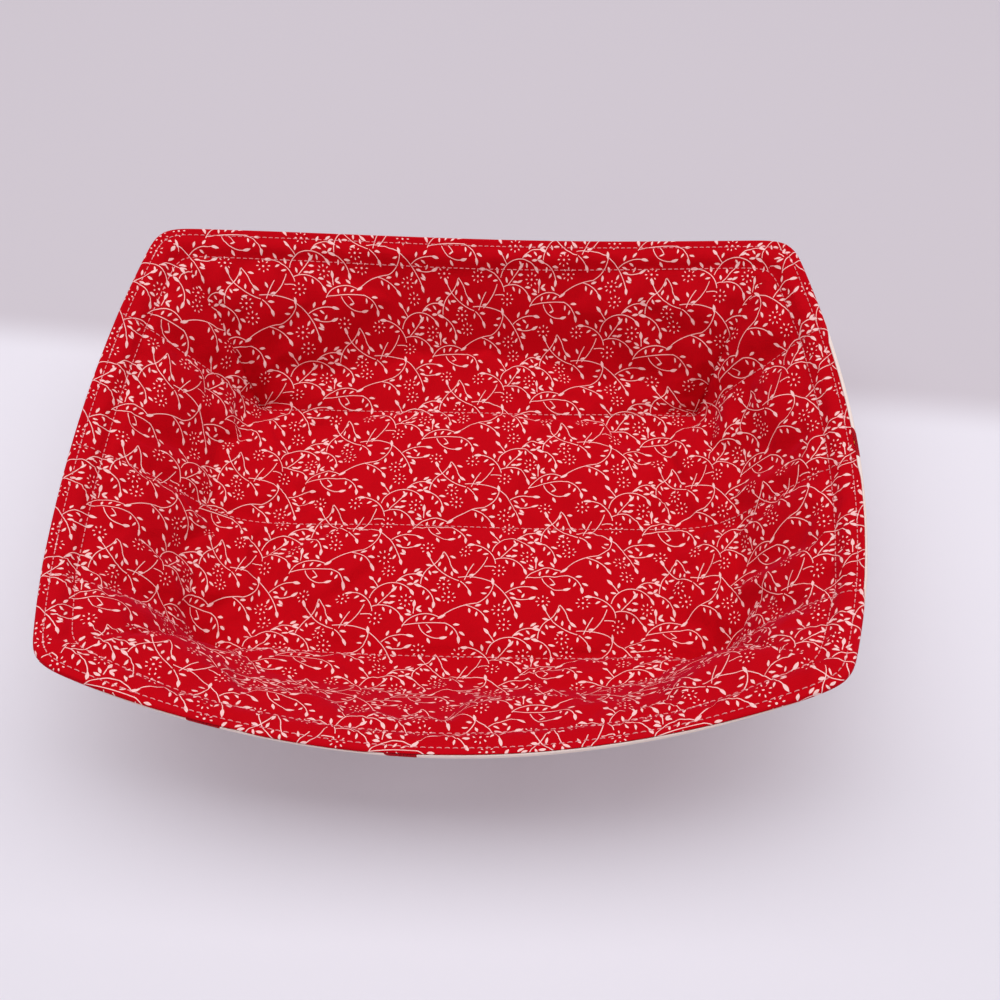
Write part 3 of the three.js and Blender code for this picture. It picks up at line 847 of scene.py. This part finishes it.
def blossom_print():
    """The whole outer print: where petals, veins, eyes and leaves are."""
    tree, given = new_group("blossom_print", ("Place",), BLOSSOM_PARTS)
    blossom = blossom_group(repeat_group("blossom_repeat", OUTER_REPEAT))
    totals = [0] * len(BLOSSOM_PARTS)
    for i, (x, y) in enumerate(BLOSSOMS):
        drawn = add(tree, GROUP, given["Place"], x, y, BLOSSOM_TURN * i, node_tree=blossom).outputs
        totals = [add(tree, MATH, total, ink, operation="MAXIMUM") for total, ink in zip(totals, drawn)]
    add(tree, "NodeGroupOutput", *totals)
    return tree


def new_material(name, specular):
    """A material with its node tree and its shader."""
    material = bpy.data.materials.new(name)
    material.use_nodes = True
    surface = material.node_tree.nodes["Principled BSDF"]
    surface.inputs["Specular IOR Level"].default_value = specular
    return material, material.node_tree, surface


def relief(tree, surface, height, strength, depth, heights, roughness):
    """Gives a surface a bump and a roughness that follow a height."""
    bump = add(tree, "ShaderNodeBump", strength, depth)
    tree.links.new(height, bump.inputs["Height"])
    tree.links.new(bump.outputs[0], surface.inputs["Normal"])
    rough = add(tree, "ShaderNodeMapRange", height, *heights, *roughness)
    tree.links.new(rough.outputs[0], surface.inputs["Roughness"])


# Plain weave of quilting cotton has about 28 threads to the centimetre. It is drawn a little coarser, so that
# it shows. The dye is cloudy over about 11 mm, and undyed yarns over 5 mm.
YARN = 0.5
DYE_CLOUDS = 0.09
YARN_CLOUDS = 1 / 5


def weave(tree, place):
    """Height of a plain weave, yarns passing over and under in turn, at a place in millimetres."""
    place = add(tree, "ShaderNodeSeparateXYZ", place).outputs
    waves = []
    for axis in ("X", "Y"):
        turn = add(tree, MATH, place[axis], math.pi / YARN, operation="MULTIPLY")
        waves.append(add(tree, MATH, turn, operation="SINE"))
    return add(tree, MATH, *waves, operation="MULTIPLY").outputs[0]


def cotton(name, bloom):
    """The start of a printed cotton: a matte plain weave, with its place on the flat cloth for the print."""
    material, tree, surface = new_material(name, 0.05)
    surface.inputs["Sheen Weight"].default_value = 0.05
    surface.inputs["Sheen Roughness"].default_value = 0.45
    surface.inputs["Sheen Tint"].default_value = srgb(bloom)
    place = add(tree, "ShaderNodeUVMap", uv_map="flat_mm")
    relief(tree, surface, weave(tree, place), 0.5, 0.05 * MM, (-1, 1), (0.8, 0.92))
    return material, tree, surface, place


def lining_cotton():
    """Quilting cotton, plain woven and screen printed: a matte red cloth with a pale pink print that lies in
    the yarns and not on them, a fine weave, and a soft bloom where it is seen at a slant."""
    material, tree, surface, place = cotton("red_vine_quilting_cotton", "c878ff")
    ink = add(tree, GROUP, place, node_tree=vine_print())
    dye = add(tree, "ShaderNodeTexNoise", place, None, DYE_CLOUDS, 3, 0.6).outputs["Fac"]
    ground = add(tree, MIX, dye, *SKIP, srgb("ba0110"), srgb("ca0213"), data_type="RGBA").outputs["Result"]
    colour = add(tree, MIX, ink, *SKIP, ground, srgb("fdd0ce"), data_type="RGBA").outputs["Result"]
    tree.links.new(colour, surface.inputs["Base Color"])
    return material


def outer_cotton():
    """Quilting cotton like the lining's, printed with red blossoms and dark green leaves on off-white."""
    material, tree, surface, place = cotton("pale_blossom_quilting_cotton", "fff4ec")
    printed = add(tree, GROUP, place, node_tree=blossom_print()).outputs
    slub = add(tree, "ShaderNodeTexNoise", place, None, YARN_CLOUDS, 3, 0.6).outputs["Fac"]
    colour = add(tree, MIX, slub, *SKIP, srgb("f1dcd6"), srgb("f7e6e0"), data_type="RGBA").outputs["Result"]
    for part, code in (("Leaves", "2f4a2c"), ("Petals", "b0121f"), ("Veins", "7d0a14"), ("Eye", "d8a53c")):
        colour = add(tree, MIX, printed[part], *SKIP, colour, srgb(code), data_type="RGBA").outputs["Result"]
    tree.links.new(colour, surface.inputs["Base Color"])
    return material


def sewing_thread(name, dark, light):
    """Spun sewing thread: two plies twisted together, matte, a little fuzzy, with light and dark turns."""
    material, tree, surface = new_material(name, 0.2)
    place = add(tree, "ShaderNodeTexCoord").outputs["Object"]
    # Plies turn about every 0.6 mm
    turns = add(tree, "ShaderNodeTexNoise", place, None, 1 / (0.6 * MM), 2, 0.5).outputs["Fac"]
    colour = add(tree, MIX, turns, *SKIP, srgb(dark), srgb(light), data_type="RGBA")
    tree.links.new(colour.outputs["Result"], surface.inputs["Base Color"])
    relief(tree, surface, turns, 0.4, 0.06 * MM, (0, 1), (0.68, 0.85))
    return material


def cotton_wadding():
    """Needled cotton wadding: loose cream fibres pressed into a soft, dull layer with darker seed specks."""
    material, tree, surface = new_material("needled_cotton_wadding", 0.1)
    place = add(tree, "ShaderNodeTexCoord").outputs["Object"]
    # Fibre tufts about 3 mm across, specks about 9 mm apart
    fibres = add(tree, "ShaderNodeTexNoise", place, None, 1 / (3 * MM), 6, 0.7).outputs["Fac"]
    cream = add(tree, MIX, fibres, *SKIP, srgb("e2dac8"), srgb("f8f4ea"), data_type="RGBA").outputs["Result"]
    specks = add(tree, "ShaderNodeTexVoronoi", place, None, 1 / (9 * MM))
    speck = add(tree, MATH, specks.outputs["Distance"], 0.05, operation="LESS_THAN")
    colour = add(tree, MIX, speck, *SKIP, cream, srgb("a08a62"), data_type="RGBA").outputs["Result"]
    tree.links.new(colour, surface.inputs["Base Color"])
    relief(tree, surface, fibres, 0.6, 0.3 * MM, (0, 1), (0.9, 1))
    return material


def shown(tree):
    """1 for what the camera sees, straight on or by way of a shiny or a clear piece."""
    path = add(tree, "ShaderNodeLightPath").outputs
    seen = add(tree, MATH, path["Is Camera Ray"], path["Is Glossy Ray"], operation="MAXIMUM")
    return add(tree, MATH, seen, path["Is Transmission Ray"], operation="MAXIMUM")


# Painted shade: the studio's paper is drawn greyer over a narrow band behind the cozy, a little aslant, and
# beyond it. The camera sees it a little lifted by a faint glow, so that the shadow on it stays light.
FAR_SHADE_BAND = (0.085, 0.115)
FAR_SHADE_SLANT = 0.1
SHADOW_LIFT = 0.1


def studio_paper():
    """Matte lavender-white paper of the studio table, with painted shade that makes it greyer far behind."""
    material, tree, surface = new_material("matte_studio_paper", 0.1)
    surface.inputs["Roughness"].default_value = 0.9
    place = add(tree, "ShaderNodeTexCoord").outputs["Object"]
    place = add(tree, "ShaderNodeSeparateXYZ", place).outputs
    behind = add(tree, MATH, place["X"], FAR_SHADE_SLANT, place["Y"], operation="MULTIPLY_ADD")
    # Painted shade: the paper's colour turns greyer over the band behind the cozy and beyond it
    far = add(tree, "ShaderNodeMapRange", behind, *FAR_SHADE_BAND, 0, 1, interpolation_type="SMOOTHSTEP")
    colour = add(tree, MIX, far, *SKIP, srgb("ebe7f1"), srgb("cfc7d0"), data_type="RGBA").outputs["Result"]
    tree.links.new(colour, surface.inputs["Base Color"])
    share = add(tree, MATH, shown(tree), SHADOW_LIFT, operation="MULTIPLY")
    glow = add(tree, "ShaderNodeEmission", colour)
    lifted = add(tree, "ShaderNodeMixShader", share, surface, glow)
    tree.links.new(lifted.outputs[0], tree.nodes["Material Output"].inputs["Surface"])
    return material


red_cotton = lining_cotton()
pale_cotton = outer_cotton()
wadding = cotton_wadding()
lining_thread = sewing_thread("pink_sewing_thread", "e5919a", "fbbfc2")
outer_thread = sewing_thread("white_sewing_thread", "ded6d0", "f8f4f0")
THREADS = {"lining": (lining_thread, "lining_thread"), "outer": (outer_thread, "outer_thread")}

FORM = sewn_form()
lining_cloth = panel(-1)
outer_cloth = panel(1)

for name, cloth, core in (("lining", lining_cloth, LINING_CORE), ("outer", outer_cloth, OUTER_CORE)):
    piece = new_piece(name + "_wadding", batting(cloth, core), wadding, "cotton_batting", name + "_batting")

# Stitches on the faces: each panel's quilting, and the needle and bobbin threads of the rim's two rows
for name, cloth, way in (("lining", lining_cloth, "needle"), ("outer", outer_cloth, "bobbin")):
    nodes = {f"quilting_{place}": f"{name}_quilting_thread_{place}" for place in ("back", "middle", "front")}
    nodes["first_row"] = f"edge_topstitch_{way}_thread"
    nodes["second_row"] = f"second_row_{way}_thread"
    lines = stitch_lines(cloth)
    for line, node in nodes.items():
        verts, closed = lines[line]
        bm = row_of_stitches([v.co for v in verts], [v.normal for v in verts], closed)
        new_piece(f"{name}_{line}_stitches", bm, *THREADS[name], node)

# Seams inside the cozy, in the core between the battings: the seam of the rim, and the darts of each panel
seams = stitch_lines(FORM)
verts, closed = seams["rim"]
points, ups = [], []
for i, v in enumerate(verts):
    forward = (verts[(i + 1) % len(verts)].co - verts[i - 1].co).normalized()
    upward = forward.cross(v.normal)
    if upward.z < 0:
        upward.negate()
    points.append(v.co - v.normal * CREST_RADIUS + upward * SEAM_RISE)
    ups.append(upward)
bm = row_of_stitches(points, ups, closed)
new_piece("rim_seam_stitches", bm, outer_thread, "outer_thread", "rim_seam_thread")

core_depth = (LINING_CORE + OUTER_CORE) / 2
(to_rim,) = facts(FORM, "to_rim")
for line, (verts, closed) in seams.items():
    if not line.startswith("dart"):
        continue
    for name, shift in (("lining", -DART_SHIFT), ("outer", DART_SHIFT)):
        points = []
        for i, v in enumerate(verts):
            forward = (verts[min(i + 1, len(verts) - 1)].co - verts[max(i - 1, 0)].co).normalized()
            in_core = v.co - v.normal * core_depth * stack_share(v[to_rim])
            points.append(in_core + forward.cross(v.normal) * shift)
        bm = row_of_stitches(points, [v.normal for v in verts], closed)
        node = f"{name}_{line.replace('dart', 'dart_thread')}"
        new_piece(f"{name}_{line}_stitches", bm, *THREADS[name], node)

for side, cloth, name, material in ((-1, lining_cloth, "lining", red_cotton),
                                    (1, outer_cloth, "outer", pale_cotton)):
    roll_rim(cloth, side)
    piece = new_piece(name, cloth, material, name + "_cotton", name + "_panel")
    solid = piece.modifiers.new("cloth", "SOLIDIFY")
    solid.thickness = FABRIC
    solid.offset = -1
FORM.free()

# Camera: its place, how far it looks down and to the right and is rolled, and its lens and sensor
CAMERA_PLACE = Vector((39.9, -313.5, 433.0)) * MM
PITCH, YAW, ROLL = 52.31, -4.61, -2.66
LENS = 43.66
SENSOR = 36
# The table's half size, and the studio's lamps: power, size and place. They shine at the cozy.
TABLE = 3
LAMPS = {"key": (23, (3.0, 1.2), (0.02, 0.32, 1.38)), "fill": (1.5, (1.6, 0.8), (0, -1.2, 0.4))}
AMBIENT = (0.86, 0.83, 0.85, 1)
AMBIENT_STRENGTH = 0.4

scene = bpy.context.scene
view = bpy.data.cameras.new("camera")
view.lens = LENS
view.sensor_width = SENSOR
camera = new_object("camera", view)
camera.matrix_world = Matrix.Translation(CAMERA_PLACE)
for angle, axis in ((-YAW, "Z"), (90 - PITCH, "X"), (ROLL, "Z")):
    camera.matrix_world = camera.matrix_world @ Matrix.Rotation(math.radians(angle), 4, axis)
scene.camera = camera

floor_mesh = bpy.data.meshes.new("floor")
bm = bmesh.new()
bmesh.ops.create_grid(bm, x_segments=1, y_segments=1, size=TABLE)
bm.to_mesh(floor_mesh)
bm.free()
floor_mesh.materials.append(studio_paper())
new_object("floor", floor_mesh)

for name, (energy, size, place) in LAMPS.items():
    lamp = bpy.data.lights.new(name, "AREA")
    lamp.energy = energy
    lamp.shape = "RECTANGLE"
    lamp.size, lamp.size_y = size
    light = new_object(name, lamp)
    light.location = place
    light.rotation_euler = (-light.location).to_track_quat("-Z", "Y").to_euler()

world = bpy.data.worlds.new("world")
world.use_nodes = True
sky = world.node_tree
ambient = sky.nodes["Background"]
ambient.inputs["Color"].default_value = AMBIENT
ambient.inputs["Strength"].default_value = AMBIENT_STRENGTH
# Past the edge of the floor the camera sees the studio paler than the light that it gives
backdrop = add(sky, "ShaderNodeBackground", srgb("dcd6dc"), 1)
studio = add(sky, "ShaderNodeMixShader", shown(sky), ambient, backdrop)
sky.links.new(studio.outputs[0], sky.nodes["World Output"].inputs["Surface"])
scene.world = world
scene.view_settings.view_transform = "Standard"
